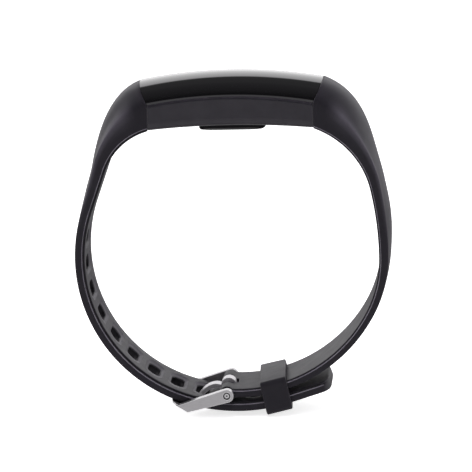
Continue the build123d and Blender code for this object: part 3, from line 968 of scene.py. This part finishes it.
# ---------------------------------------------------------------- stage, light and camera
def floor():
    """A pale floor under the band; a glow that only the camera sees lifts its shadows."""
    half_width, front, back, below = 0.45, -0.16, 0.6, 0.0005
    pale, glow = (0.93, 0.93, 0.93, 1), 0.8
    z = cad_low.z - below
    corners = [(x, y, z) for x in (-half_width, half_width) for y in (front, back)]
    mesh = bpy.data.meshes.new("floor")
    mesh.from_pydata(corners, [], [(0, 1, 3, 2)])
    thing = new_object("floor", mesh)
    made, tree, shader = material("floor")
    shader.inputs["Base Color"].default_value = pale
    shader.inputs["Roughness"].default_value = 0.9
    shader.inputs["Emission Color"].default_value = pale
    tree.links.new(product(tree, add(tree, "ShaderNodeLightPath").outputs["Is Camera Ray"],
                           constant(tree, glow)), shader.inputs["Emission Strength"])
    thing.data.materials.append(made)
    thing.visible_glossy = False


light_aim = Vector((0, 0, -0.03))


def area_light(name, place_at, size, power):
    """A soft light aimed at the middle of the band, left out of reflections."""
    light = bpy.data.lights.new(name, "AREA")
    light.shape = "RECTANGLE"
    light.size, light.size_y = size
    light.energy = power
    light.color = (0.98, 0.94, 1.0)
    thing = new_object(name, light)
    thing.location = place_at
    thing.rotation_mode = "QUATERNION"
    thing.rotation_quaternion = (light_aim - Vector(place_at)).to_track_quat("-Z", "Y")
    thing.visible_glossy = False


# Directions run from -1 to 1; brightnesses are of white.
backdrop_side, backdrop_fade, backdrop_top, backdrop_top_fade = -0.05, 0.25, 0.66, 0.03
backdrop_glow, side_glow = 1.6, 2.0
horizon_low, horizon_high = -0.03, 0.05
softbox_low, softbox_high = 0.78, 0.95
room_low, room_high, room_in_reflections = 0.07, 0.30, 0.6
floor_in_reflections, floor_behind = 0.8, 0.45


def world():
    """White for the camera; for light, a bright backdrop behind and a dim room in front.

    Reflections also see a pale floor and a softbox at each side.
    """
    made = bpy.data.worlds.new("studio")
    bpy.context.scene.world = made
    made.use_nodes = True
    tree = made.node_tree
    tree.nodes.clear()
    link = tree.links.new
    split = tree.nodes.new("ShaderNodeSeparateXYZ")
    link(add(tree, "ShaderNodeTexCoord").outputs["Generated"], split.inputs["Vector"])
    x, y, z = (split.outputs[axis] for axis in "XYZ")
    across = add(tree, "ShaderNodeMath", operation="ABSOLUTE")
    link(x, across.inputs[0])
    rays = add(tree, "ShaderNodeLightPath")
    glossy = rays.outputs["Is Glossy Ray"]

    above = smooth_step(tree, z, horizon_low, horizon_high)
    behind = product(tree, smooth_step(tree, y, backdrop_side, backdrop_side + backdrop_fade),
                     smooth_step(tree, z, backdrop_top + backdrop_top_fade,
                                 backdrop_top - backdrop_top_fade))
    dim_room = product(tree, between(tree, z, room_low, room_high),
                       between(tree, glossy, 1.0, room_in_reflections))
    front = between(tree, above, between(tree, glossy, room_low, floor_in_reflections), dim_room)
    rear = between(tree, above, floor_behind, backdrop_glow)
    level = between(tree, behind, front, rear)
    sides = product(tree, glossy,
                    smooth_step(tree, across.outputs["Value"], softbox_low, softbox_high))
    level = between(tree, sides, level, side_glow)

    room = add(tree, "ShaderNodeBackground")
    link(level, room.inputs["Color"])
    paper = add(tree, "ShaderNodeBackground")
    paper.inputs["Color"].default_value = (1, 1, 1, 1)
    mix = tree.nodes.new("ShaderNodeMixShader")
    link(rays.outputs["Is Camera Ray"], mix.inputs["Fac"])
    link(room.outputs["Background"], mix.inputs[1])
    link(paper.outputs["Background"], mix.inputs[2])
    link(mix.outputs["Shader"], tree.nodes.new("ShaderNodeOutputWorld").inputs["Surface"])


def studio():
    """A pale floor, one light above the band and a weak one in front."""
    floor()
    world()
    area_light("overhead", (0.05, -0.03, 0.5), (0.45, 0.3), 2.7)
    area_light("front", (-0.15, -0.5, 0.35), (0.3, 0.3), 0.6)


def camera():
    """Side view: a little right of square on, looking down 12.9 degrees, leaning 1.8 degrees."""
    turn, tilt, lean = radians(4.0), radians(12.9), radians(1.8)
    away, view_width = 0.9, 0.1065
    aim = Vector((-0.0001, 0, -0.0248))
    back = Vector((sin(turn) * cos(tilt), -cos(turn) * cos(tilt), sin(tilt)))
    level = Vector((cos(turn), sin(turn), 0))
    upright = back.cross(level)
    right = level * cos(lean) - upright * sin(lean)
    up = level * sin(lean) + upright * cos(lean)
    data = bpy.data.cameras.new("camera")
    data.sensor_width = 36.0
    data.lens = data.sensor_width * away / view_width
    data.clip_start, data.clip_end = 0.05, 10
    thing = new_object("camera", data)
    facing = Matrix((right, up, back)).transposed().to_4x4()
    thing.matrix_world = Matrix.Translation(aim + back * away) @ facing
    bpy.context.scene.camera = thing


dress_nodes()
tail_strap()
buckle_strap()
keeper()
springs()
studio()
camera()
bpy.context.scene.view_settings.view_transform = "Standard"
